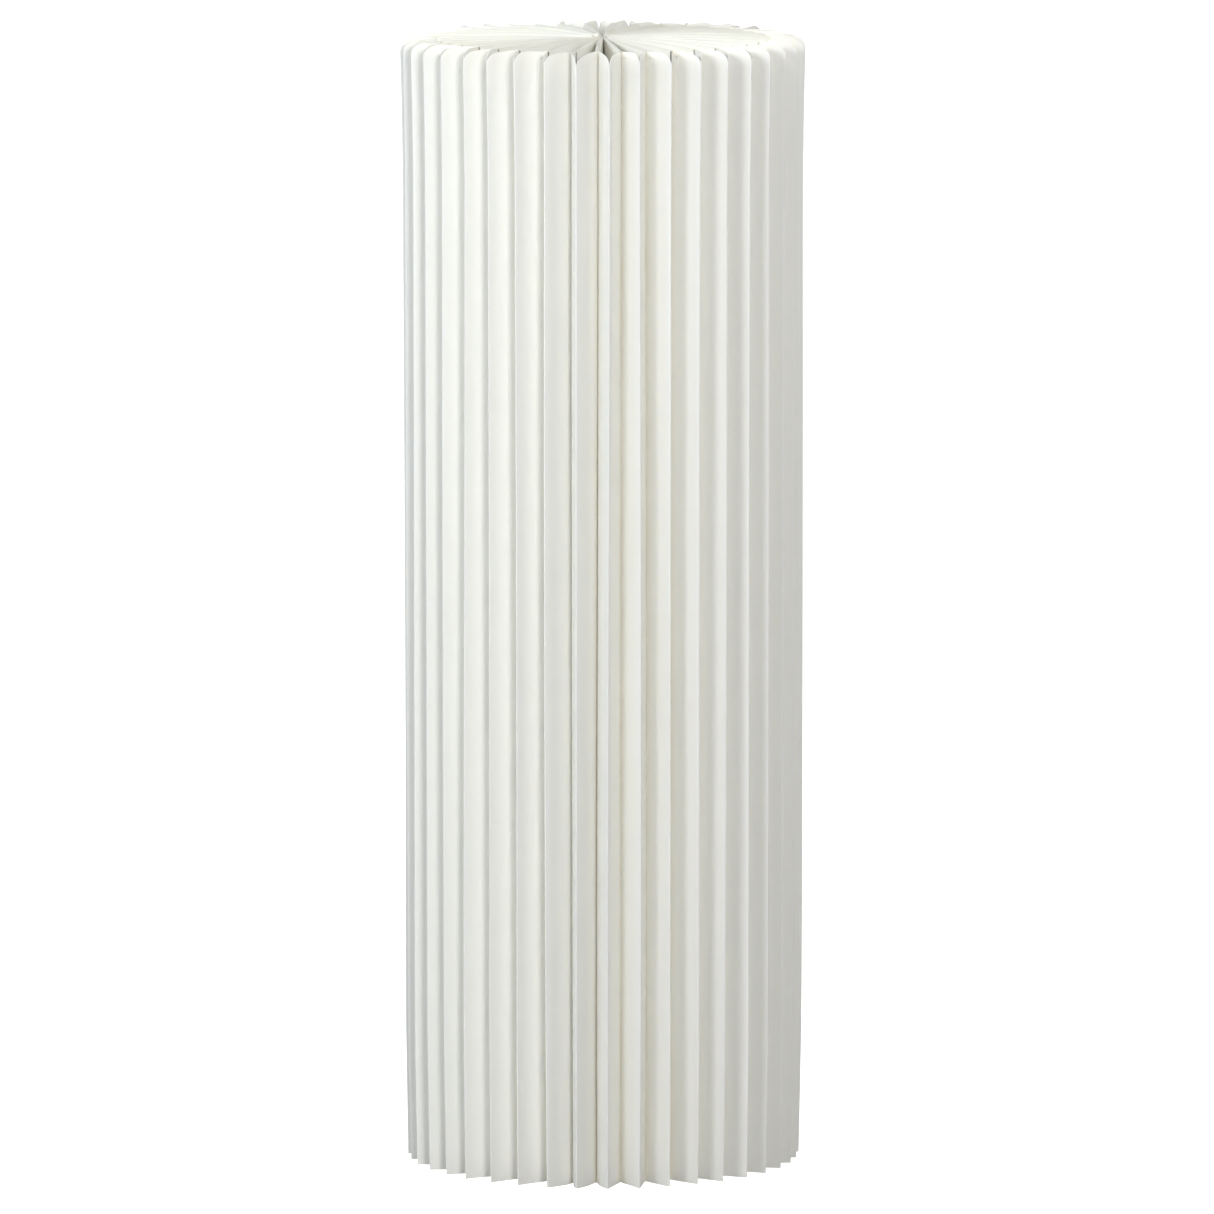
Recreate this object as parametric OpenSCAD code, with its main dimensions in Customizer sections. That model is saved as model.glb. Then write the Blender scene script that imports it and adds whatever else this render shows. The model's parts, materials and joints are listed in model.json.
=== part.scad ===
// Accordion paper lantern. A sleeve of straight vertical pleats stands on its cut lower edge. Its top is
// drawn in to the centre as a rosette of leaves, which a gather cord ties, and a battery light hangs inside.
// Millimetres, +Z up. The origin is on the surface the sleeve stands on, at the sleeve's centre.
// The sleeve opens at its seam and folds up like a fan about the vertical axis, one pleat at a time.

/* [Sleeve] */
// Diameter over the ridges of the pleats
sleeve_d = 300; // [220:5:400]
// Height of the sleeve
sleeve_h = 850; // [400:10:1000]
// Depth of a pleat from ridge to valley, along the radius
pleat_depth = 26.5; // [20:0.5:32]
// Number of pleats round the sleeve
pleat_count = 40; // [24:1:44]
// Thickness of the paper
paper_t = 0.4; // [0.2:0.1:0.6]
// Gap between neighbouring pleats where they meet in a valley
fold_gap = 0.3; // [0.2:0.1:0.5]
// Angle of the closing seam about the vertical axis, from +X
seam_angle = -93; // [-180:1:180]

/* [Top] */
// Height over which a ridge corner rounds off at the top
corner_h = 8; // [4:1:12]
// Width over which a ridge corner rounds off at the top
corner_w = 11; // [6:1:16]
// Diameter of the punched string holes
string_hole_d = 1.5; // [1:0.1:2.5]
// Distance of the string holes below the top edge
string_hole_drop = 5; // [3:0.5:10]
// Distance of the string holes from the valley, along the radius
string_hole_in = 4; // [3:0.5:8]
// Depth of a leaf of the rosette
leaf_depth = 28; // [20:1:32]
// Thickness of a pair of leaves folded shut
web_t = 1; // [0.6:0.1:1.2]
// Thickness of the closed folds under the webs
fold_t = 1; // [0.8:0.1:2]
// Gap between the rosette and the sleeve's valleys
rosette_gap = 0.6; // [0.4:0.1:2]
// Radius of the eye left at the middle of the rosette
rosette_eye = 9; // [7:0.5:12]
// Diameter of the gather cord
cord_d = 1.6; // [1:0.1:2.2]

/* [Seam] */
// Width of the tape that closes the seam
tape_w = 9; // [6:1:14]
// Thickness of the tape
tape_t = 0.3; // [0.2:0.1:0.5]
// Distance that the tape stops short of the sleeve's ends
tape_end = 40; // [38:1:80]

/* [Light] */
// Distance from the top of the sleeve down to the light's cover
light_drop = 37; // [37:1:120]
// Outer diameter of the light's casing
casing_d = 62; // [54:1:80]
// Height of the casing
casing_h = 64; // [62:1:90]
// Wall of the casing
casing_wall = 2; // [1.5:0.1:3]
// Height of the opal diffuser below the casing
diffuser_h = 40; // [24:1:60]
// Wall of the diffuser
diffuser_wall = 1.6; // [1.2:0.1:2.4]
// Travel of the slide switch
switch_travel = 5; // [3:0.5:7]

/* [Fits] */
// Clearance between pieces that slot into each other
fit_gap = 0.35; // [0.3:0.05:0.5]
// Clearance round a screw's shank
screw_gap = 0.1; // [0.05:0.05:0.2]

/* [Hidden] */
paper = "#f4f2ea";
thread = "#efece2";
plastic = "#ecece8";
$fn = 72;

// Sleeve: one pleat is a chevron from valley to valley with its ridge in the middle
pitch = 360 / pleat_count;
ridge_r = sleeve_d / 2;
valley_r = ridge_r - pleat_depth;
edge_angle = pitch / 2 - asin(fold_gap / 2 / valley_r);
edge_x = valley_r * cos(edge_angle);
edge_y = valley_r * sin(edge_angle);
ridge_half = atan(edge_y / (ridge_r - edge_x));
ridge_in = paper_t / sin(ridge_half);
valley_in = paper_t / sin(ridge_half + edge_angle);
inner_r = valley_r - valley_in;
corner_step = 15;

// Rosette, clear of the sleeve's valleys
rosette_r = inner_r - rosette_gap;
web_end = 0.2;
collar_drop = 0.5;

// Gather cord and the loop that the light hangs from
gather_r = rosette_eye + 2;
gather_z = sleeve_h - 8;
knot_r = 3.6;
knot_z = sleeve_h - 5;
link_r = 5;
wire_d = 1.6;
link_play = 0.3;

// Light, from its cover down
cover_top = sleeve_h - light_drop;
cover_t = 5;
casing_top = cover_top - cover_t - fit_gap;
casing_base = casing_top - casing_h;
casing_in = casing_d / 2 - casing_wall;
plug_h = 6;
plug_wall = 2.4;
boss = [5, 4, 4];
boss_hole_z = cover_top + 2.2;
eye_z = boss_hole_z + link_r;
loop_z = eye_z + 2 * link_r - wire_d / 2 - cord_d / 2 - link_play;

// Inside the casing
cell_d = 10.5;
cell_h = 44.5;
cell_ring = 12;
contact_t = 0.8;
contact_gap = 0.1;
partition_t = 2.5;
board_space = 12;
partition_z = casing_base + board_space;
cell_z = partition_z + partition_t + contact_t + 2 * contact_gap;
board_t = 1.6;
board_gap = 3;
board_z = partition_z - board_gap - board_t;
board_r = casing_in - 3;
screw_r = 1.2;
screw_head_r = 2.6;
screw_head_t = 1.6;
screw_ring = board_r - 5;
led_r = 2.5;
led_h = 3;
rim_plug_h = 4;
switch_z = partition_z - 5;
knob = [6, 5, 3];

function pad2(k) = k < 10 ? str("0", k) : str(k);
function pleat_name(k) = str("pleat_", pad2(k));

// Points of an ellipse's quarter that rounds the corner at [x, z] off
function corner_arc(x, z) = [for (a = [0:corner_step:90])
    [x - corner_w * (1 - cos(a)), z - corner_h * (1 - sin(a))]];

// Section of one pleat, its ridge on +X
module chevron() {
    polygon([
        [edge_x, edge_y],
        [ridge_r, 0],
        [edge_x, -edge_y],
        [edge_x - valley_in * cos(edge_angle), -edge_y + valley_in * sin(edge_angle)],
        [ridge_r - ridge_in, 0],
        [edge_x - valley_in * cos(edge_angle), edge_y - valley_in * sin(edge_angle)]
    ]);
}

// Round body that takes the ridge corners off at the top
module crown_envelope() {
    rotate_extrude()
        polygon(concat(
            [[0, -1], [ridge_r + 1, -1], [ridge_r + 1, sleeve_h - corner_h]],
            corner_arc(ridge_r, sleeve_h),
            [[0, sleeve_h]]));
}

// One pleat of the sleeve, counted from the seam
module pleat(k) {
    color(paper)
        rotate([0, 0, seam_angle + (k - 0.5) * pitch])
            difference() {
                intersection() {
                    linear_extrude(sleeve_h) chevron();
                    crown_envelope();
                }
                translate([valley_r + string_hole_in, edge_y + 1, sleeve_h - string_hole_drop])
                    rotate([90, 0, 0])
                        cylinder(d = string_hole_d, h = 2 * edge_y + 2);
            }
}

// Rosette: each pair of leaves is folded shut into one upright web under its valley. The webs stand on the
// closed folds below them and meet in a collar round the eye.
module top_rosette() {
    web_in = rosette_eye + web_t / 2;
    color(paper)
        translate([0, 0, sleeve_h - leaf_depth])
            union() {
                for (k = [0:pleat_count - 1])
                    rotate([0, 0, seam_angle + k * pitch])
                        translate([web_in, -web_t / 2, fold_t / 2])
                            cube([rosette_r - web_in - web_end, web_t, leaf_depth - fold_t / 2]);
                round_wall(rosette_r, rosette_eye, 0, fold_t);
                round_wall(rosette_eye + web_t, rosette_eye, fold_t / 2, leaf_depth - collar_drop);
            }
}

// Ring wall from one height to another
module round_wall(outer, inner, low, high) {
    translate([0, 0, low])
        difference() {
            cylinder(r = outer, h = high - low);
            translate([0, 0, -1])
                cylinder(r = inner, h = high - low + 2);
        }
}

// Ring of round section about the Z axis
module torus(major, d, angle = 360) {
    rotate_extrude(angle = angle)
        translate([major, 0])
            circle(d = d, $fn = 32);
}

// Cord that ties the leaves' inner ends, with the two strands that cross to the knot
module gather_cord() {
    color(thread)
        translate([0, 0, gather_z])
            union() {
                torus(gather_r, cord_d);
                rotate([90, 0, 0])
                    translate([0, 0, knot_r - 1])
                        cylinder(d = cord_d, h = gather_r - knot_r + 1);
                rotate([-90, 0, 0])
                    translate([0, 0, knot_r - 1])
                        cylinder(d = cord_d, h = gather_r - knot_r + 1);
            }
}

module gather_knot() {
    color(thread)
        translate([0, 0, knot_z])
            sphere(r = knot_r);
}

// Tape inside the seam, on the last pleat's edge and the first one's
module seam_tape() {
    color("#e8e4d6")
        rotate([0, 0, seam_angle])
            translate([inner_r - fold_gap - tape_t, -tape_w / 2, tape_end])
                cube([tape_t, tape_w, sleeve_h - 2 * tape_end]);
}

// Upright link of two half rings and two straight sides
module link(major, d, low_z, high_z) {
    translate([0, 0, high_z])
        rotate([90, 0, 0])
            torus(major, d, 180);
    translate([0, 0, low_z])
        rotate([-90, 0, 0])
            torus(major, d, 180);
    for (side = [-1, 1])
        translate([side * major, 0, low_z])
            cylinder(d = d, h = high_z - low_z);
}

module light_loop() {
    color(thread)
        link(link_r, cord_d, loop_z, knot_z - 2 - link_r);
}

module light_eye() {
    color("silver")
        translate([0, 0, eye_z])
            rotate([0, 90, 0])
                torus(link_r, wire_d);
}

// Cover with the boss that holds the eye, and a plug ring that turns inside the casing
module light_cover() {
    color(plastic)
        difference() {
            union() {
                translate([0, 0, cover_top - cover_t])
                    cylinder(d = casing_d, h = cover_t);
                translate([0, 0, cover_top - cover_t - plug_h])
                    difference() {
                        cylinder(r = casing_in - fit_gap, h = plug_h + 1);
                        translate([0, 0, -1])
                            cylinder(r = casing_in - fit_gap - plug_wall, h = plug_h + 1);
                    }
                translate([-boss.x / 2, -boss.y / 2, cover_top])
                    cube(boss);
            }
            translate([0, boss.y, boss_hole_z])
                rotate([90, 0, 0])
                    cylinder(d = wire_d + 1.2, h = 2 * boss.y);
        }
}

// Three places round the light's axis
module in_three(r, turn = 0) {
    for (i = [0:2])
        rotate([0, 0, 120 * i + turn])
            translate([r, 0, 0])
                children();
}

module light_casing() {
    color(plastic)
        difference() {
            translate([0, 0, casing_base])
                cylinder(d = casing_d, h = casing_h);
            translate([0, 0, partition_z + partition_t])
                cylinder(r = casing_in, h = casing_h);
            translate([0, 0, casing_base - 1])
                cylinder(r = casing_in, h = board_space + 1);
            in_three(screw_ring, 60)
                translate([0, 0, partition_z - 1])
                    cylinder(r = screw_r + screw_gap, h = partition_t + 2);
            translate([casing_in - 1, -(knob.y + switch_travel) / 2 - fit_gap, switch_z - knob.z / 2 - fit_gap])
                cube([casing_wall + 2, knob.y + switch_travel + 2 * fit_gap, knob.z + 2 * fit_gap]);
        }
}

module batteries() {
    color("#6f8f5f")
        in_three(cell_ring)
            translate([0, 0, cell_z])
                union() {
                    cylinder(d = cell_d, h = cell_h - 1);
                    cylinder(d = 3.8, h = cell_h);
                }
}

module battery_contacts() {
    color("silver")
        in_three(cell_ring)
            translate([0, 0, partition_z + partition_t + contact_gap])
                cylinder(d = cell_d - 2, h = contact_t);
}

module circuit_board() {
    color("#2f6b45")
        difference() {
            translate([0, 0, board_z])
                cylinder(r = board_r, h = board_t);
            in_three(screw_ring, 60)
                translate([0, 0, board_z - 1])
                    cylinder(r = screw_r + screw_gap, h = board_t + 2);
        }
}

module board_screws() {
    color("silver")
        in_three(screw_ring, 60)
            translate([0, 0, board_z - screw_head_t - contact_gap])
                difference() {
                    union() {
                        cylinder(r = screw_head_r, h = screw_head_t);
                        cylinder(r = screw_r, h = screw_head_t + board_t + board_gap + partition_t);
                    }
                    translate([-screw_head_r, -0.3, -1])
                        cube([2 * screw_head_r, 0.6, 1.7]);
                }
}

module led() {
    color("#fff3c4")
        translate([0, 0, board_z - led_h - contact_gap])
            union() {
                cylinder(r = led_r, h = led_h);
                cylinder(r = led_r + 0.5, h = 0.8);
                sphere(r = led_r);
            }
}

// Opal dome below the casing, with a rim that plugs into it
module diffuser() {
    color("#fbfaf4")
        difference() {
            union() {
                translate([0, 0, casing_base - fit_gap])
                    cylinder(r = casing_in - fit_gap, h = rim_plug_h);
                translate([0, 0, casing_base - fit_gap - 3])
                    cylinder(d = casing_d, h = 3);
                translate([0, 0, casing_base - fit_gap - 3])
                    dome(casing_d / 2 - 1, diffuser_h - 3);
            }
            translate([0, 0, casing_base - fit_gap - 4])
                cylinder(r = casing_in - fit_gap - diffuser_wall, h = rim_plug_h + 5);
            translate([0, 0, casing_base - fit_gap - 3])
                dome(casing_d / 2 - 1 - diffuser_wall, diffuser_h - 3 - diffuser_wall);
        }
}

// Half of an ellipsoid that hangs from z = 0
module dome(r, h) {
    rotate_extrude()
        polygon(concat([[0, 0]], [for (a = [0:6:90]) [r * cos(a), -h * sin(a)]]));
}

module switch_slider() {
    color("#3a3a3a")
        translate([casing_in - 1.5, -knob.y - switch_travel / 2 + knob.y / 2, switch_z - knob.z / 2])
            cube([knob.x, knob.y, knob.z]);
}

for (k = [1:pleat_count])
    pleat(k);
top_rosette();
gather_cord();
gather_knot();
seam_tape();
light_loop();
light_eye();
light_cover();
light_casing();
batteries();
battery_contacts();
circuit_board();
board_screws();
led();
diffuser();
switch_slider();
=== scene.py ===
"""Looks of the accordion paper lantern: its sleeve, crown, gather knot, hanging light and stage."""

import json
import math
import random

import bpy
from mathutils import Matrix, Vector

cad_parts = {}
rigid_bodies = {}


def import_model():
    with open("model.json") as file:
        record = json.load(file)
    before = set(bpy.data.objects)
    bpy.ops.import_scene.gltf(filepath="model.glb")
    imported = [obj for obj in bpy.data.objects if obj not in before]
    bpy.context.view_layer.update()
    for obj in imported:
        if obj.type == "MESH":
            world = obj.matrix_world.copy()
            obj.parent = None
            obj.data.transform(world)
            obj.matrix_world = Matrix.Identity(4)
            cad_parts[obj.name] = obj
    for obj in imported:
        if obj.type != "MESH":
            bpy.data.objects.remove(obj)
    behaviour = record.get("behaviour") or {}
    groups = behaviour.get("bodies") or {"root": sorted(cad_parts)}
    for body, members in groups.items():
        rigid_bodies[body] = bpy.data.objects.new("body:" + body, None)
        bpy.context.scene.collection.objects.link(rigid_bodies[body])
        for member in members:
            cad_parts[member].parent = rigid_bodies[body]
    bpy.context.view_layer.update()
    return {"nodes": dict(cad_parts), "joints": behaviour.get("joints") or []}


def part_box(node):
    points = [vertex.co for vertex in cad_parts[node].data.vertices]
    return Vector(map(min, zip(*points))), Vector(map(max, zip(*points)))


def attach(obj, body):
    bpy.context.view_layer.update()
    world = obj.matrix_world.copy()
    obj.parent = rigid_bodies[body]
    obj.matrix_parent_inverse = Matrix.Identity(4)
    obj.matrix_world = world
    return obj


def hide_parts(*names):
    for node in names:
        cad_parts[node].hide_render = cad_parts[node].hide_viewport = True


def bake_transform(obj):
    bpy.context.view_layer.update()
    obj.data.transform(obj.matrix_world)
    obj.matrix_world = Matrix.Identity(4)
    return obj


bl_info = {
    "name": "Accordion Paper Lantern",
    "version": (1, 0, 0),
    "blender": (4, 5, 0),
    "location": "View3D > Sidebar > Lantern",
    "description": "Builds the pleated paper sleeve, its gathered crown and the finishes of the lantern",
    "category": "Object",
}

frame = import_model()
SLEEVE_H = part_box("top_rosette")[1].z
# The sleeve has one fold joint for each pleat
PLEATS = sum(joint["name"].startswith("fold_") for joint in frame["joints"])
PITCH = math.tau / PLEATS
SEAM_ANGLE = math.radians(-93)
HANGING = "hanging_set"
# Points nearer to each other than this are one point, in metres
TOUCH = 1e-6

# How hard each pressed valley is pressed, as a share of the seam press, counted from the seam's own valley
PRESSED_VALLEYS = {0: 0.7, -1: 1.3}
# Share of the pleat's depth past which a pressed panel keeps its place, so that the fold itself stays
PRESS_ENDS = 0.87
# How early the press peaks on the way from ridge to valley: at a share of the depth of 0.5 over this
PRESS_RISE = 1.15
# Angle over which the lean towards the seam dies away
LEAN_SPAN = math.radians(11)
# Heights over which the rim's flare, the foot's taper and the rim's wave die away
FLARE_SPAN = 0.05
TAPER_SPAN = 0.06
WAVE_SPAN = 0.03
# Distance from the valleys at which the rim's wave is full
WAVE_REACH = 0.012


# ---------------------------------------------------------------- sizes and colours

class SleeveSettings(bpy.types.PropertyGroup):
    ridge_r: bpy.props.FloatProperty(
        name="Ridge radius", description="Radius of the sleeve over its ridges",
        default=0.150, unit="LENGTH")
    depth: bpy.props.FloatProperty(
        name="Pleat depth", description="Distance from ridge to valley along the radius",
        default=0.0265, unit="LENGTH")
    paper: bpy.props.FloatProperty(
        name="Paper", description="Thickness of the paper", default=0.00035, unit="LENGTH")
    ridge_round: bpy.props.FloatProperty(
        name="Ridge rounding", description="Width of the soft bend on each side of a ridge",
        default=0.0024, unit="LENGTH")
    corner_h: bpy.props.FloatProperty(
        name="Corner height", description="Height over which a ridge corner rounds off",
        default=0.008, unit="LENGTH")
    corner_w: bpy.props.FloatProperty(
        name="Corner width", description="Width over which a ridge corner rounds off",
        default=0.011, unit="LENGTH")
    hole_d: bpy.props.FloatProperty(
        name="String hole", description="Diameter of the punched holes under the rim",
        default=0.0015, unit="LENGTH")
    hole_in: bpy.props.FloatProperty(
        name="Hole inset", description="Distance of a hole from the valley, along the radius",
        default=0.004, unit="LENGTH")
    hole_drop: bpy.props.FloatProperty(
        name="Hole drop", description="Distance of a hole below the rim", default=0.005, unit="LENGTH")
    flare: bpy.props.FloatProperty(
        name="Rim flare", description="How far the rim spreads past the sleeve's radius",
        default=0.0016, unit="LENGTH")
    rim_wave: bpy.props.FloatProperty(
        name="Rim wave", description="Unevenness of the pleats' top edges", default=0.0007, unit="LENGTH")
    taper: bpy.props.FloatProperty(
        name="Foot taper", description="How far the foot draws in", default=0.0018, unit="LENGTH")
    lean: bpy.props.FloatProperty(
        name="Seam lean", description="How far the valleys beside the seam lean towards it",
        default=0.0062, unit="LENGTH")
    seam_press: bpy.props.FloatProperty(
        name="Seam press", description="How hard the two valleys at the seam are pressed shut", default=0.74)
    wander: bpy.props.FloatProperty(
        name="Wander", description="Unevenness of the hand-folded creases", default=0.0005, unit="LENGTH")


class CrownSettings(bpy.types.PropertyGroup):
    leaf_depth: bpy.props.FloatProperty(
        name="Leaf depth", description="Depth of a leaf at its inner end", default=0.028, unit="LENGTH")
    tip_r: bpy.props.FloatProperty(
        name="Tip radius", description="Radius at which the leaves' inner tips end", default=0.0055,
        unit="LENGTH")
    tip_spread: bpy.props.FloatProperty(
        name="Tip spread", description="Unevenness of the inner tips", default=0.003, unit="LENGTH")
    crest: bpy.props.FloatProperty(
        name="Crest", description="Half the width of the soft bend along a leaf's ridge", default=0.0011,
        unit="LENGTH")
    uneven: bpy.props.FloatProperty(
        name="Unevenness", description="How far the ridges rise, sink and swing from straight",
        default=0.0011, unit="LENGTH")
    dome: bpy.props.FloatProperty(
        name="Dome", description="How far the crown rises half way in", default=0.0018, unit="LENGTH")


class KnotSettings(bpy.types.PropertyGroup):
    cord: bpy.props.FloatProperty(
        name="Cord", description="Diameter of the gather cord", default=0.0016, unit="LENGTH")
    size: bpy.props.FloatProperty(
        name="Knot", description="Radius of the knot", default=0.0034, unit="LENGTH")


class PaperColours(bpy.types.PropertyGroup):
    light: bpy.props.FloatVectorProperty(
        name="Paper", description="Colour of the clean paper", subtype="COLOR", size=3,
        default=(0.94, 0.935, 0.895), min=0, max=1)
    # Painted shade: this darker, warmer colour is painted deep in the valleys for the shade and warm bounce
    # light between the panels
    valley_shade: bpy.props.FloatVectorProperty(
        name="Valley shade", description="Colour painted deep in the valleys as warm shade",
        subtype="COLOR", size=3, default=(0.84, 0.80, 0.68), min=0, max=1)


class StageSettings(bpy.types.PropertyGroup):
    distance: bpy.props.FloatProperty(
        name="Distance", description="Distance of the camera from the lantern's axis",
        default=8.5, unit="LENGTH")
    height: bpy.props.FloatProperty(
        name="Camera height", description="Height of the camera above the floor",
        default=1.59, unit="LENGTH")
    lens: bpy.props.FloatProperty(
        name="Lens", description="Focal length in millimetres", default=337.0)


# ---------------------------------------------------------------- helpers

def clear_selection():
    for obj in bpy.context.view_layer.objects:
        obj.select_set(False)


def only(obj):
    """Selects one object and makes it active."""
    clear_selection()
    obj.select_set(True)
    bpy.context.view_layer.objects.active = obj


def place(obj):
    """Applies the object's place to its mesh."""
    only(obj)
    bpy.ops.object.transform_apply(location=True, rotation=True, scale=True)


def apply_modifier(obj, name, kind, **values):
    """Adds a modifier with those values and applies it."""
    modifier = obj.modifiers.new(name, kind)
    for key, value in values.items():
        setattr(modifier, key, value)
    only(obj)
    bpy.ops.object.modifier_apply(modifier=modifier.name)


def smooth(obj, angle):
    """Shades smoothly across edges flatter than the angle, in degrees."""
    only(obj)
    bpy.ops.object.shade_smooth_by_angle(angle=math.radians(angle))


def coat(obj, name):
    """Gives the piece one material, by its name."""
    obj.data.materials.clear()
    obj.data.materials.append(bpy.data.materials[name])


def turn_over(obj):
    """Turns every face of the mesh to its other side."""
    only(obj)
    bpy.ops.object.mode_set(mode="EDIT")
    bpy.ops.mesh.select_all(action="SELECT")
    bpy.ops.mesh.flip_normals()
    bpy.ops.object.mode_set(mode="OBJECT")


def copy_of(obj, name):
    """A copy with its own mesh."""
    twin = obj.copy()
    twin.data = obj.data.copy()
    twin.name = name
    twin.data.name = name
    bpy.context.scene.collection.objects.link(twin)
    return twin


def seam_at(k):
    """Azimuth of valley k, counted from the seam."""
    return SEAM_ANGLE + k * PITCH


def round_point(r, azimuth, z):
    return Vector((r * math.cos(azimuth), r * math.sin(azimuth), z))


# ---------------------------------------------------------------- materials

class Finish:
    """A material under construction: a principled shader and short calls that add its nodes."""

    def __init__(self, name):
        self.material = bpy.data.materials.new(name)
        self.material.use_nodes = True
        self.tree = self.material.node_tree
        self.shader = self.tree.nodes["Principled BSDF"]
        self.where = self.node("ShaderNodeTexCoord").outputs["Object"]

    def node(self, kind, **values):
        made = self.tree.nodes.new(kind)
        for key, value in values.items():
            if key in made.inputs:
                made.inputs[key].default_value = value
            else:
                setattr(made, key, value)
        return made

    def link(self, source, target):
        self.tree.links.new(source, target)

    def set(self, **values):
        for key, value in values.items():
            self.shader.inputs[key.replace("_", " ")].default_value = value

    def noise(self, scale, detail=3.0, stretch=(1, 1, 1)):
        """Noise on the object's own coordinates, with the size given in features a metre."""
        mapping = self.node("ShaderNodeMapping")
        mapping.inputs["Scale"].default_value = stretch
        self.link(self.where, mapping.inputs["Vector"])
        made = self.node("ShaderNodeTexNoise", Scale=scale, Detail=detail)
        self.link(mapping.outputs["Vector"], made.inputs["Vector"])
        return made.outputs["Fac"]

    def ranged(self, source, low, high, to_low, to_high):
        made = self.node("ShaderNodeMapRange")
        made.inputs["From Min"].default_value = low
        made.inputs["From Max"].default_value = high
        made.inputs["To Min"].default_value = to_low
        made.inputs["To Max"].default_value = to_high
        self.link(source, made.inputs["Value"])
        return made.outputs["Result"]

    def math(self, operation, a, b):
        made = self.node("ShaderNodeMath", operation=operation)
        for socket, value in zip(made.inputs, (a, b)):
            if isinstance(value, (int, float)):
                socket.default_value = value
            else:
                self.link(value, socket)
        return made.outputs["Value"]

    def mix(self, factor, a, b):
        made = self.node("ShaderNodeMix", data_type="RGBA")
        for key, value in (("Factor", factor), ("A", a), ("B", b)):
            socket = [s for s in made.inputs if s.name == key and s.enabled][0]
            if isinstance(value, bpy.types.NodeSocket):
                self.link(value, socket)
            elif key == "Factor":
                socket.default_value = value
            else:
                socket.default_value = (*value, 1)
        return [s for s in made.outputs if s.enabled][0]

    def bump(self, height, distance, strength=1.0):
        """Adds one layer of bump on top of those already there."""
        made = self.node("ShaderNodeBump", Strength=strength, Distance=distance)
        self.link(height, made.inputs["Height"])
        before = self.shader.inputs["Normal"]
        if before.is_linked:
            self.link(before.links[0].from_socket, made.inputs["Normal"])
        self.link(made.outputs["Normal"], before)


def paper_finish(name, colours, sleeve):
    """Uncoated paper: fibres and faint clouds, with a painted highlight along the ridge creases and painted
    warm shade deep in the valleys.
    """
    made = Finish(name)
    made.set(Subsurface_Weight=0.30, Subsurface_Radius=(1.0, 0.85, 0.6), Subsurface_Scale=0.003)
    made.set(Specular_IOR_Level=0.25)
    flat = made.node("ShaderNodeVectorMath", operation="MULTIPLY")
    flat.inputs[1].default_value = (1, 1, 0)
    made.link(made.where, flat.inputs[0])
    length = made.node("ShaderNodeVectorMath", operation="LENGTH")
    made.link(flat.outputs["Vector"], length.inputs[0])
    radius = length.outputs["Value"]
    ridge_r = sleeve.ridge_r
    valley_r = ridge_r - sleeve.depth
    clouds = made.noise(14, 4)
    fibres = made.noise(900, 5, (1, 1, 0.25))
    grain = made.noise(2600, 2)
    # Painted shade: a darker warm tone is painted into the deepest part of each valley, where shade and warm
    # bounce light fall
    in_valley = made.ranged(radius, valley_r + 0.006, valley_r + 0.0005, 0, 1)
    valley_shade_share = made.math("MULTIPLY", in_valley, made.ranged(clouds, 0.3, 0.7, 0.3, 0.6))
    body = made.mix(made.ranged(fibres, 0.25, 0.75, 0, 0.35), colours.light,
                    tuple(0.955 * c for c in colours.light))
    with_valley_shade = made.mix(valley_shade_share, body, colours.valley_shade)
    # Painted highlight: a paler band is painted along each ridge, where the rounded fold catches the light
    ridge_highlight_share = made.ranged(radius, ridge_r - 0.0024, ridge_r - 0.0006, 0, 0.7)
    with_ridge_highlight = made.mix(ridge_highlight_share, with_valley_shade, (0.95, 0.95, 0.94))
    made.link(with_ridge_highlight, made.shader.inputs["Base Color"])
    made.link(made.ranged(fibres, 0.2, 0.8, 0.72, 0.9), made.shader.inputs["Roughness"])
    made.bump(clouds, 0.0006, 0.35)
    made.bump(fibres, 0.00008, 0.6)
    made.bump(grain, 0.00003, 0.5)
    return made.material


def thread_finish(name):
    """Twisted cotton cord."""
    made = Finish(name)
    wave = made.node("ShaderNodeTexWave", Scale=420, Distortion=1.2, wave_type="BANDS",
                     bands_direction="DIAGONAL")
    made.link(made.where, wave.inputs["Vector"])
    fuzz = made.noise(3000, 3)
    strand = made.ranged(wave.outputs["Fac"], 0.1, 0.9, 0, 1)
    tone = made.mix(strand, (0.62, 0.59, 0.50), (0.86, 0.84, 0.76))
    made.link(tone, made.shader.inputs["Base Color"])
    made.link(made.ranged(fuzz, 0.2, 0.8, 0.75, 0.95), made.shader.inputs["Roughness"])
    made.set(Sheen_Weight=0.25)
    made.bump(wave.outputs["Fac"], 0.00018, 0.8)
    made.bump(fuzz, 0.00005, 0.5)
    return made.material


def plastic_finish(name, colour, rough, translucent=0.0):
    """Moulded plastic with a fine eroded texture and slight handling marks."""
    made = Finish(name)
    marks = made.noise(35, 4)
    spark = made.noise(4200, 1)
    handled = tuple(0.86 * c for c in colour)
    tone = made.mix(made.ranged(marks, 0.35, 0.7, 0, 0.35), colour, handled)
    made.link(tone, made.shader.inputs["Base Color"])
    made.link(made.ranged(marks, 0.3, 0.7, rough, rough + 0.14), made.shader.inputs["Roughness"])
    if translucent:
        made.set(Subsurface_Weight=translucent, Subsurface_Radius=(1, 0.95, 0.85),
                 Subsurface_Scale=0.004)
    made.bump(spark, 0.00003, 0.5)
    return made.material


def metal_finish(name, colour, rough):
    """Drawn, plated wire and screws with fine lengthwise scratches."""
    made = Finish(name)
    scratches = made.noise(1800, 2, (1, 1, 0.08))
    stains = made.noise(60, 3)
    stained = tuple(0.72 * c for c in colour)
    tone = made.mix(made.ranged(stains, 0.4, 0.75, 0, 0.5), colour, stained)
    made.link(tone, made.shader.inputs["Base Color"])
    made.set(Metallic=1.0)
    made.link(made.ranged(scratches, 0.3, 0.7, rough, rough + 0.18), made.shader.inputs["Roughness"])
    made.bump(scratches, 0.00002, 0.4)
    return made.material


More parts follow.
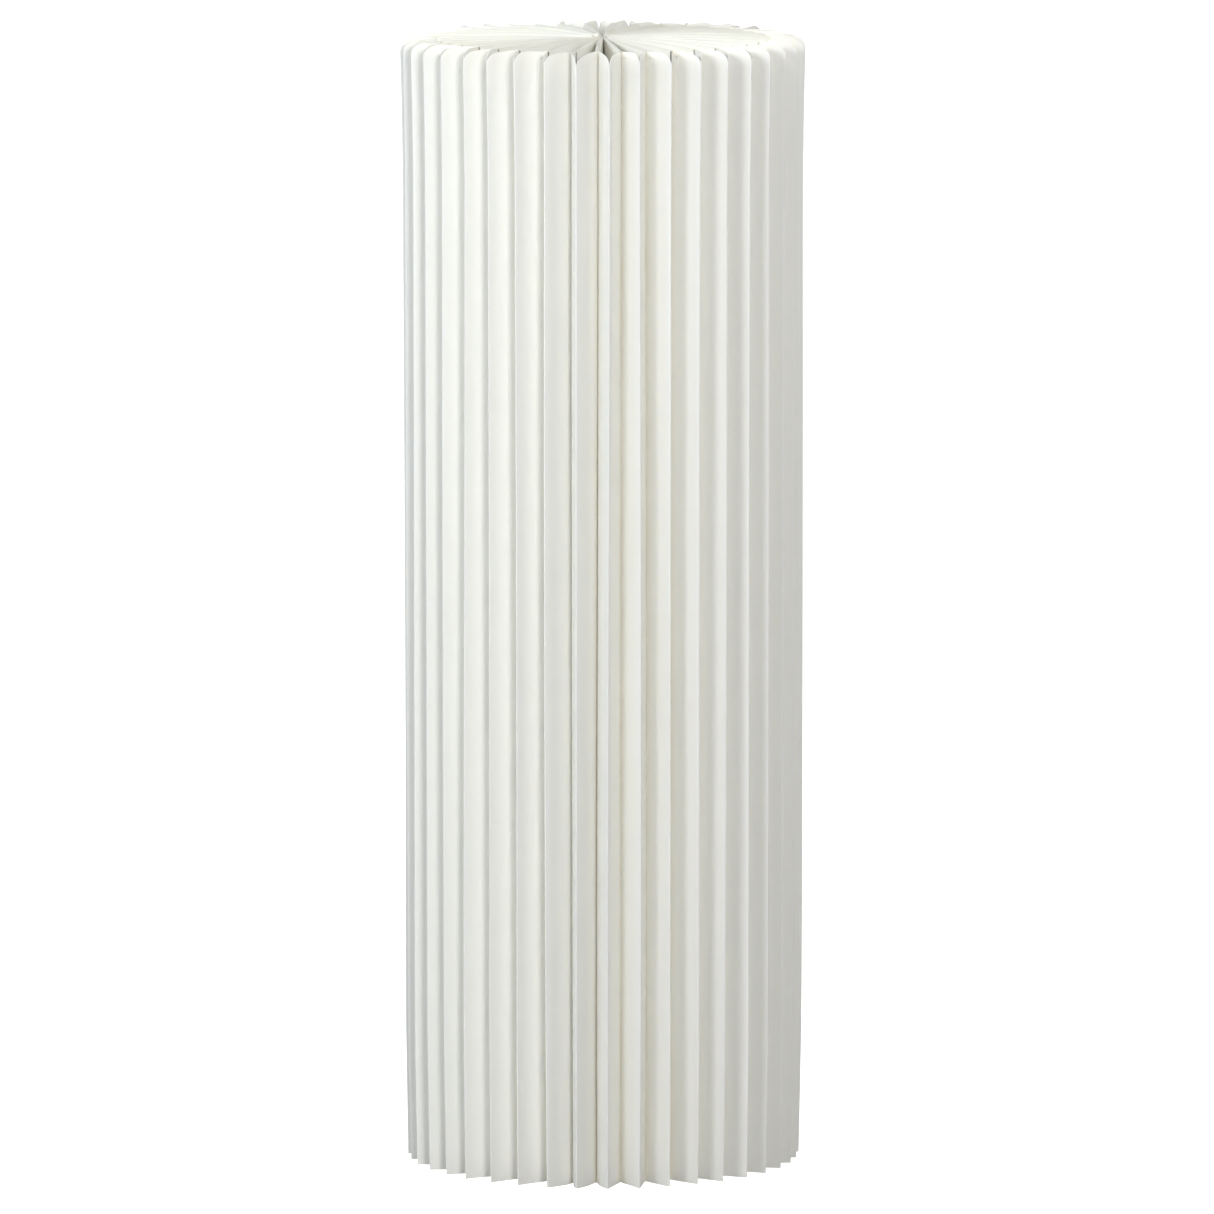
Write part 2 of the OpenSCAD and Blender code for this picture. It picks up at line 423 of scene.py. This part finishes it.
def jacket_finish(name):
    """Shrink jacket of a battery cell: a dark body, a lighter band at the top and soft wrinkles."""
    made = Finish(name)
    split = made.node("ShaderNodeSeparateXYZ")
    made.link(made.where, split.inputs["Vector"])
    low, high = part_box("batteries")
    band_z = high.z - 0.25 * (high.z - low.z)
    blur = 0.0002
    band = made.ranged(split.outputs["Z"], band_z - blur, band_z + blur, 0, 1)
    tone = made.mix(band, (0.10, 0.20, 0.09), (0.42, 0.36, 0.16))
    made.link(tone, made.shader.inputs["Base Color"])
    wrinkles = made.noise(160, 4)
    made.link(made.ranged(wrinkles, 0.3, 0.7, 0.22, 0.36), made.shader.inputs["Roughness"])
    made.bump(wrinkles, 0.0001, 0.4)
    return made.material


def board_finish(name):
    """Solder-masked laminate with faint tracks under the mask."""
    made = Finish(name)
    tracks = made.node("ShaderNodeTexBrick", Scale=160)
    made.link(made.where, tracks.inputs["Vector"])
    weave = made.noise(900, 2)
    on_track = made.ranged(tracks.outputs["Fac"], 0, 1, 0, 0.6)
    tone = made.mix(on_track, (0.02, 0.16, 0.07), (0.05, 0.27, 0.12))
    made.link(tone, made.shader.inputs["Base Color"])
    made.link(made.ranged(weave, 0.3, 0.7, 0.28, 0.42), made.shader.inputs["Roughness"])
    made.bump(tracks.outputs["Fac"], 0.00004, 0.5)
    return made.material


# ---------------------------------------------------------------- the folded sheet

def crease_shift(azimuth, z, sleeve):
    """Sideways and outward wander of the sheet at a place, the same on both sides of a crease."""
    h = z / SLEEVE_H
    side = math.sin(9 * azimuth + 3.1 * h) + 0.6 * math.sin(17 * azimuth - 4.4 * h + 1.0)
    out = math.sin(7 * azimuth + 2.3 * h + 0.5) + 0.7 * math.sin(13 * azimuth + 3.9 * h)
    return sleeve.wander * side, sleeve.wander * out


def seam_lean(azimuth, sleeve):
    """How far a valley leans towards the seam, in metres along the arc: most just before it."""
    away = (azimuth - SEAM_ANGLE + math.pi) % math.tau - math.pi
    share = (away + LEAN_SPAN) / LEAN_SPAN
    return sleeve.lean * math.exp(-share * share)


def pinch(r, azimuth, sleeve):
    """The azimuth after the two panels of a valley are pressed together: only at the seam."""
    turns = (azimuth - SEAM_ANGLE) / PITCH
    valley = round(turns)
    press = PRESSED_VALLEYS.get((valley + 1) % PLEATS - 1, 0) * sleeve.seam_press
    deep = min(1, max(0, (sleeve.ridge_r - r) / sleeve.depth))
    share = press * math.sin(math.pi * min(1, PRESS_RISE * deep)) if deep < PRESS_ENDS else 0
    return SEAM_ANGLE + PITCH * (valley + (turns - valley) * (1 - share * deep))


def spread(z, sleeve):
    """Change of the sleeve's radius at a height: flared at the rim, drawn in at the foot."""
    from_top = (SLEEVE_H - z) / FLARE_SPAN
    from_foot = z / TAPER_SPAN
    flare = sleeve.flare * math.exp(-from_top * from_top)
    return flare - sleeve.taper * math.exp(-from_foot * from_foot)


def settle(obj, sleeve, straight_below=-1.0):
    """Moves a piece's points from the ideal fold to the hand-folded one.

    Points at or below straight_below aren't moved sideways by wander or lean.
    """
    valley_r = sleeve.ridge_r - sleeve.depth
    for vertex in obj.data.vertices:
        x, y, z = vertex.co
        r = math.hypot(x, y)
        azimuth = pinch(r, math.atan2(y, x), sleeve)
        valley_share = min(1, max(0, (sleeve.ridge_r - r) / sleeve.depth)) if r > valley_r else r / valley_r
        side, out = crease_shift(azimuth, z, sleeve)
        side = side + seam_lean(azimuth, sleeve) * valley_share if z > straight_below else 0
        grow = (spread(z, sleeve) + out) * min(1, r / valley_r)
        past_valley = min(1, max(0, (r - valley_r) / WAVE_REACH))
        near_rim = math.exp(-((SLEEVE_H - z) / WAVE_SPAN) ** 2) * past_valley
        wave = math.sin(31 * azimuth + 1.3) + 0.7 * math.sin(53 * azimuth)
        z += sleeve.rim_wave * near_rim * wave
        azimuth += side * min(1, r / valley_r) / max(r, 0.02)
        vertex.co = round_point(r + grow, azimuth, z)


def add_grid(name, columns, rows):
    """A flat grid of the given cells, one metre square, with its own name."""
    clear_selection()
    bpy.ops.mesh.primitive_grid_add(x_subdivisions=columns, y_subdivisions=rows, size=1)
    obj = bpy.context.active_object
    obj.name = name
    obj.data.name = name
    return obj


class LANTERN_OT_sleeve(bpy.types.Operator):
    """Fold the sleeve's pleats, one piece each"""

    bl_idname = "lantern.sleeve"
    bl_label = "Sleeve"

    def execute(self, context):
        sleeve = context.scene.lantern_sleeve
        plain = self.master(sleeve, fine=False)
        pressed = self.master(sleeve, fine=True)
        at_seam = (1, PLEATS - 1, PLEATS)
        for k in range(1, PLEATS + 1):
            obj = copy_of(pressed if k in at_seam else plain, f"sleeve_pleat_{k:02d}")
            middle = seam_at(k - 0.5)
            obj.rotation_euler = (0, 0, middle)
            place(obj)
            settle(obj, sleeve)
            coat(obj, "sleeve_paper")
            smooth(obj, 25)
            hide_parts(f"pleat_{k:02d}")
            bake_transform(obj)
        bpy.data.objects.remove(plain)
        bpy.data.objects.remove(pressed)
        return {"FINISHED"}

    def master(self, sleeve, fine):
        """One pleat with its ridge on +X; a fine one has points across its panels, so that they can bend."""
        obj = add_grid("pleat_master", 2, 18)
        valley_r = sleeve.ridge_r - sleeve.depth
        half = valley_r * math.sin(PITCH / 2)
        obj.scale = (2 * half, SLEEVE_H, 1)
        obj.rotation_euler = (math.pi / 2, 0, math.pi / 2)
        obj.location = (valley_r * math.cos(PITCH / 2), 0, SLEEVE_H / 2)
        place(obj)
        self.fold(obj, sleeve, fine)
        apply_modifier(obj, "Sheet", "SOLIDIFY", thickness=sleeve.paper, offset=-1,
                       use_even_offset=True)
        self.round_corner(obj, sleeve)
        self.punch(obj, sleeve)
        return obj

    def fold(self, obj, sleeve, fine):
        """Pulls the middle column out to the ridge and softens the crease."""
        only(obj)
        bpy.ops.object.mode_set(mode="EDIT")
        bpy.ops.mesh.select_all(action="DESELECT")
        bpy.ops.object.mode_set(mode="OBJECT")
        for vertex in obj.data.vertices:
            vertex.select = abs(vertex.co.y) < TOUCH
        for edge in obj.data.edges:
            edge.select = all(obj.data.vertices[i].select for i in edge.vertices)
        bpy.ops.object.mode_set(mode="EDIT")
        sharp_r = sleeve.ridge_r + 0.7 * sleeve.ridge_round
        out = sharp_r - (sleeve.ridge_r - sleeve.depth) * math.cos(PITCH / 2)
        bpy.ops.transform.translate(value=(out, 0, 0))
        bpy.ops.mesh.bevel(offset=sleeve.ridge_round, segments=3, affect="EDGES")
        if fine:
            self.divide_panels(obj)
        bpy.ops.mesh.select_all(action="SELECT")
        bpy.ops.mesh.normals_make_consistent(inside=False)
        bpy.ops.object.mode_set(mode="OBJECT")
        if sum(p.normal.x * p.area for p in obj.data.polygons) < 0:
            turn_over(obj)

    def divide_panels(self, obj):
        """Cuts the edges that cross a panel, which are longer than the bends' own, in edit mode."""
        bpy.ops.mesh.select_all(action="DESELECT")
        bpy.ops.object.mode_set(mode="OBJECT")
        for edge in obj.data.edges:
            one, two = (obj.data.vertices[i].co for i in edge.vertices)
            edge.select = abs(one.z - two.z) < TOUCH and (one - two).length > 0.01
        bpy.ops.object.mode_set(mode="EDIT")
        bpy.ops.mesh.subdivide(number_cuts=3)

    def round_corner(self, obj, sleeve):
        """Trims the ridge's top corner with a lathe-turned body."""
        r = sleeve.ridge_r
        clear_r = r + 0.004
        below = -0.01
        arc_steps = 8
        arc = []
        for i in range(arc_steps + 1):
            a = math.radians(90 * i / arc_steps)
            arc.append((r - sleeve.corner_w * (1 - math.cos(a)),
                        SLEEVE_H - sleeve.corner_h * (1 - math.sin(a))))
        profile = [(0.0, below), (clear_r, below), (clear_r, arc[0][1]), *arc, (0.0, arc[-1][1])]
        mesh = bpy.data.meshes.new("trim")
        edges = [(i, i + 1) for i in range(len(profile) - 1)]
        mesh.from_pydata([(x, 0, z) for x, z in profile], edges, [])
        trim = bpy.data.objects.new("trim", mesh)
        bpy.context.scene.collection.objects.link(trim)
        only(trim)
        bpy.ops.object.mode_set(mode="EDIT")
        bpy.ops.mesh.select_all(action="SELECT")
        bpy.ops.mesh.spin(steps=96, angle=math.tau, center=(0, 0, 0), axis=(0, 0, 1))
        bpy.ops.mesh.select_all(action="SELECT")
        bpy.ops.mesh.remove_doubles(threshold=TOUCH)
        bpy.ops.mesh.normals_make_consistent(inside=False)
        bpy.ops.object.mode_set(mode="OBJECT")
        apply_modifier(obj, "Trim", "BOOLEAN", operation="INTERSECT", solver="EXACT", object=trim)
        bpy.data.objects.remove(trim)

    def punch(self, obj, sleeve):
        """Punches the string holes through both panels beside the valleys."""
        valley_r = sleeve.ridge_r - sleeve.depth
        clear_selection()
        bpy.ops.mesh.primitive_cylinder_add(
            vertices=12, radius=sleeve.hole_d / 2, depth=0.05,
            location=(valley_r + sleeve.hole_in, 0, SLEEVE_H - sleeve.hole_drop),
            rotation=(math.pi / 2, 0, 0))
        punch = bpy.context.active_object
        apply_modifier(obj, "Punch", "BOOLEAN", operation="DIFFERENCE", solver="EXACT", object=punch)
        bpy.data.objects.remove(punch)


class LANTERN_OT_crown(bpy.types.Operator):
    """Fold the crown's leaves in to the centre, one piece each"""

    bl_idname = "lantern.crown"
    bl_label = "Crown"

    def execute(self, context):
        sleeve = context.scene.lantern_sleeve
        crown = context.scene.lantern_crown
        draw = random.Random(7)
        ridges = [{"reach": draw.uniform(0, crown.tip_spread),
                   "lift": draw.uniform(-0.6, 0.8) * crown.tip_spread,
                   "sink": draw.uniform(-1, 0.4) * crown.uneven,
                   "swing": draw.uniform(-1, 1) * crown.uneven}
                  for _ in range(PLEATS)]
        for k in range(1, PLEATS + 1):
            obj = self.leaf(f"crown_leaf_{k:02d}", seam_at(k - 0.5),
                            ridges[k - 1], ridges[k % PLEATS], sleeve, crown)
            settle(obj, sleeve, straight_below=SLEEVE_H - crown.leaf_depth / 2)
            apply_modifier(obj, "Sheet", "SOLIDIFY", thickness=sleeve.paper, offset=0)
            coat(obj, "sleeve_paper")
            smooth(obj, 50)
            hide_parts("top_rosette")
            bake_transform(obj)
        return {"FINISHED"}

    def leaf(self, name, middle, left, right, sleeve, crown):
        """Two panels that hang from the soft ridges over neighbouring valleys and meet in a groove."""
        # Across and down from a ridge's top, in crests, for the columns from the outermost one inwards
        crest_steps = ((0, 0), (0.6, 0.2), (1, 0.8))
        columns = 2 * len(crest_steps)
        obj = add_grid(name, columns, 16)
        valley_r = sleeve.ridge_r - sleeve.depth
        groove_r = sleeve.ridge_r - 0.0022
        crest_end_r = valley_r - 0.0006
        top = SLEEVE_H - 0.0002
        groove_rise = 0.010
        for vertex in obj.data.vertices:
            column = round(vertex.co.x * columns)
            share = vertex.co.y + 0.5
            ridge = left if column < 0 else right
            if column == 0:
                r = crown.tip_r + (groove_r - crown.tip_r) * share
                rise = crown.dome * math.sin(math.pi * min(1, r / valley_r))
                groove_z = SLEEVE_H - crown.leaf_depth + rise + groove_rise * (1 - share) ** 8
                vertex.co = round_point(r, middle, groove_z)
                continue
            across, down = crest_steps[len(crest_steps) - abs(column)]
            inner = crown.tip_r + ridge["reach"]
            r = inner + (crest_end_r - inner) * share
            crest = min(crown.crest, 0.45 * r * PITCH / 2)
            bow = math.sin(math.pi * share)
            z = top + crown.dome * math.sin(math.pi * min(1, r / valley_r))
            z += ridge["sink"] * bow + ridge["lift"] * (1 - share) ** 12 - down * crest
            turn = math.copysign(PITCH / 2 - across * crest / r, column)
            vertex.co = round_point(r, middle + turn + ridge["swing"] * bow / r, z)
        if sum(p.normal.z * p.area for p in obj.data.polygons) < 0:
            turn_over(obj)
        return obj


class LANTERN_OT_knot(bpy.types.Operator):
    """Tie the knot of the gather cord at the crown's centre"""

    bl_idname = "lantern.knot"
    bl_label = "Gather knot"

    def execute(self, context):
        knot = context.scene.lantern_knot
        low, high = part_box("gather_knot")
        centre = (low + high) / 2
        curve = bpy.data.curves.new("tied_knot", "CURVE")
        curve.dimensions = "3D"
        curve.bevel_depth = knot.cord / 2
        curve.bevel_resolution = 3
        curve.resolution_u = 4
        spline = curve.splines.new("NURBS")
        count = 40
        spline.points.add(count - 1)
        trefoil_r = 3
        scale = (knot.size - knot.cord / 2) / trefoil_r
        for i, point in enumerate(spline.points):
            a = math.tau * i / count
            x = math.sin(a) + 2 * math.sin(2 * a)
            y = math.cos(a) - 2 * math.cos(2 * a)
            z = -1.6 * math.sin(3 * a)
            point.co = (*(centre + scale * Vector((x, y, z))), 1)
        spline.use_cyclic_u = True
        spline.order_u = 4
        obj = bpy.data.objects.new("tied_knot", curve)
        context.scene.collection.objects.link(obj)
        only(obj)
        bpy.ops.object.convert(target="MESH")
        obj = context.active_object
        smooth(obj, 60)
        coat(obj, "cotton_thread")
        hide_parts("gather_knot")
        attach(obj, HANGING)
        return {"FINISHED"}


class LANTERN_OT_finishes(bpy.types.Operator):
    """Mix the materials and give the light's pieces theirs"""

    bl_idname = "lantern.finishes"
    bl_label = "Finishes"

    def execute(self, context):
        sleeve = context.scene.lantern_sleeve
        colours = context.scene.lantern_paper
        paper_finish("sleeve_paper", colours, sleeve)
        thread = thread_finish("cotton_thread")
        shell = plastic_finish("shell_plastic", (0.80, 0.80, 0.77), 0.42)
        opal = plastic_finish("opal_dome", (0.90, 0.89, 0.84), 0.25, 0.6)
        metal = metal_finish("plated_wire", (0.60, 0.60, 0.58), 0.22)
        tape = plastic_finish("paper_tape", (0.80, 0.77, 0.66), 0.7)
        finishes = {
            "gather_cord": thread, "light_loop": thread, "light_eye": metal, "light_cover": shell,
            "light_casing": shell, "batteries": jacket_finish("cell_jacket"), "battery_contacts": metal,
            "circuit_board": board_finish("solder_mask"), "board_screws": metal,
            "led": plastic_finish("led_lens", (0.92, 0.80, 0.42), 0.12, 0.4), "diffuser": opal,
            "switch_slider": plastic_finish("switch_plastic", (0.05, 0.05, 0.055), 0.38),
            "seam_tape": tape,
        }
        soft_edges = {"light_cover": 0.0008, "light_casing": 0.0005, "switch_slider": 0.0004}
        for name, material in finishes.items():
            obj = frame["nodes"][name]
            obj.data.materials.clear()
            obj.data.materials.append(material)
            if name in soft_edges:
                bevel = obj.modifiers.new("Soft edge", "BEVEL")
                bevel.width = soft_edges[name]
                bevel.segments = 2
                bevel.limit_method = "ANGLE"
                bevel.angle_limit = math.radians(40)
        return {"FINISHED"}


class LANTERN_OT_stage(bpy.types.Operator):
    """Set the floor, the lights and the camera"""

    bl_idname = "lantern.stage"
    bl_label = "Stage"

    def execute(self, context):
        self.floor()
        self.lights(context)
        self.camera(context)
        return {"FINISHED"}

    def floor(self):
        clear_selection()
        bpy.ops.mesh.primitive_plane_add(size=120, location=(0, 0, 0))
        floor = bpy.context.active_object
        floor.name = "floor"
        made = Finish("pale_floor")
        made.set(Base_Color=(0.92, 0.92, 0.92, 1), Roughness=0.9, Emission_Color=(1, 1, 1, 1),
                 Emission_Strength=1.0)
        floor.data.materials.append(made.material)
        floor.visible_diffuse = False

    def lights(self, context):
        world = bpy.data.worlds.new("studio")
        context.scene.world = world
        world.use_nodes = True
        background = world.node_tree.nodes["Background"]
        background.inputs["Color"].default_value = (1, 0.97, 0.92, 1)
        background.inputs["Strength"].default_value = 0.12
        aim = Vector((0, 0, SLEEVE_H / 2))
        # Name, azimuth and elevation in degrees, distance, size, power, colour and target
        self.area("front", 10, 20, 3.3, 0.6, 50, (1.0, 0.985, 0.93), aim)
        self.area("front left", -32, 24, 3.3, 1.0, 40, (0.99, 1.0, 0.97), aim)
        self.area("right", 65, 25, 3.3, 0.5, 12, (1.0, 0.98, 0.92), aim)
        self.area("left", -62, 28, 3.3, 1.0, 20, (0.90, 0.97, 1.0), aim)
        self.area("side", -95, 25, 3.3, 1.0, 20, (0.92, 1.0, 1.0), aim)
        self.area("top", 0, 75, 3.3, 2.0, 15, (0.88, 0.97, 1.0), aim)
        self.area("back right", 150, 30, 3.3, 1.2, 34, (1.0, 0.99, 0.97), aim)

    def area(self, name, azimuth, elevation, distance, size, power, colour, aim):
        """A square area light; azimuth 0 is in front and positive is to the right."""
        a, e = math.radians(azimuth), math.radians(elevation)
        away = Vector((math.sin(a) * math.cos(e), -math.cos(a) * math.cos(e), math.sin(e)))
        light = bpy.data.lights.new(name, "AREA")
        light.size = size
        light.energy = power
        light.color = colour
        obj = bpy.data.objects.new(name, light)
        obj.location = aim + distance * away
        obj.rotation_euler = away.to_track_quat("Z", "Y").to_euler()
        bpy.context.scene.collection.objects.link(obj)

    def camera(self, context):
        stage = context.scene.lantern_stage
        data = bpy.data.cameras.new("camera")
        data.lens = stage.lens
        data.sensor_width = 36
        data.clip_end = 400
        data.shift_x, data.shift_y = 0.0033, -0.007
        obj = bpy.data.objects.new("camera", data)
        obj.location = (0, -stage.distance, stage.height)
        towards = Vector((0, 0, SLEEVE_H / 2)) - obj.location
        obj.rotation_euler = towards.to_track_quat("-Z", "Y").to_euler()
        context.scene.collection.objects.link(obj)
        context.scene.camera = obj
        context.scene.view_settings.view_transform = "Standard"


class LANTERN_PT_panel(bpy.types.Panel):
    """Lists the lantern's pieces"""

    bl_idname = "LANTERN_PT_panel"
    bl_label = "Paper Lantern"
    bl_space_type = "VIEW_3D"
    bl_region_type = "UI"
    bl_category = "Lantern"

    def draw(self, context):
        for operator in OPERATORS:
            self.layout.operator(operator.bl_idname)


OPERATORS = (LANTERN_OT_finishes, LANTERN_OT_sleeve, LANTERN_OT_crown, LANTERN_OT_knot, LANTERN_OT_stage)
SETTINGS = {
    "lantern_sleeve": SleeveSettings,
    "lantern_crown": CrownSettings,
    "lantern_knot": KnotSettings,
    "lantern_paper": PaperColours,
    "lantern_stage": StageSettings,
}


def register():
    for name, group in SETTINGS.items():
        bpy.utils.register_class(group)
        setattr(bpy.types.Scene, name, bpy.props.PointerProperty(type=group))
    for cls in (*OPERATORS, LANTERN_PT_panel):
        bpy.utils.register_class(cls)


def unregister():
    for cls in (LANTERN_PT_panel, *reversed(OPERATORS)):
        bpy.utils.unregister_class(cls)
    for name, group in SETTINGS.items():
        delattr(bpy.types.Scene, name)
        bpy.utils.unregister_class(group)


def main():
    register()
    bpy.ops.lantern.finishes()
    bpy.ops.lantern.sleeve()
    bpy.ops.lantern.crown()
    bpy.ops.lantern.knot()
    bpy.ops.lantern.stage()


if __name__ == "__main__":
    main()
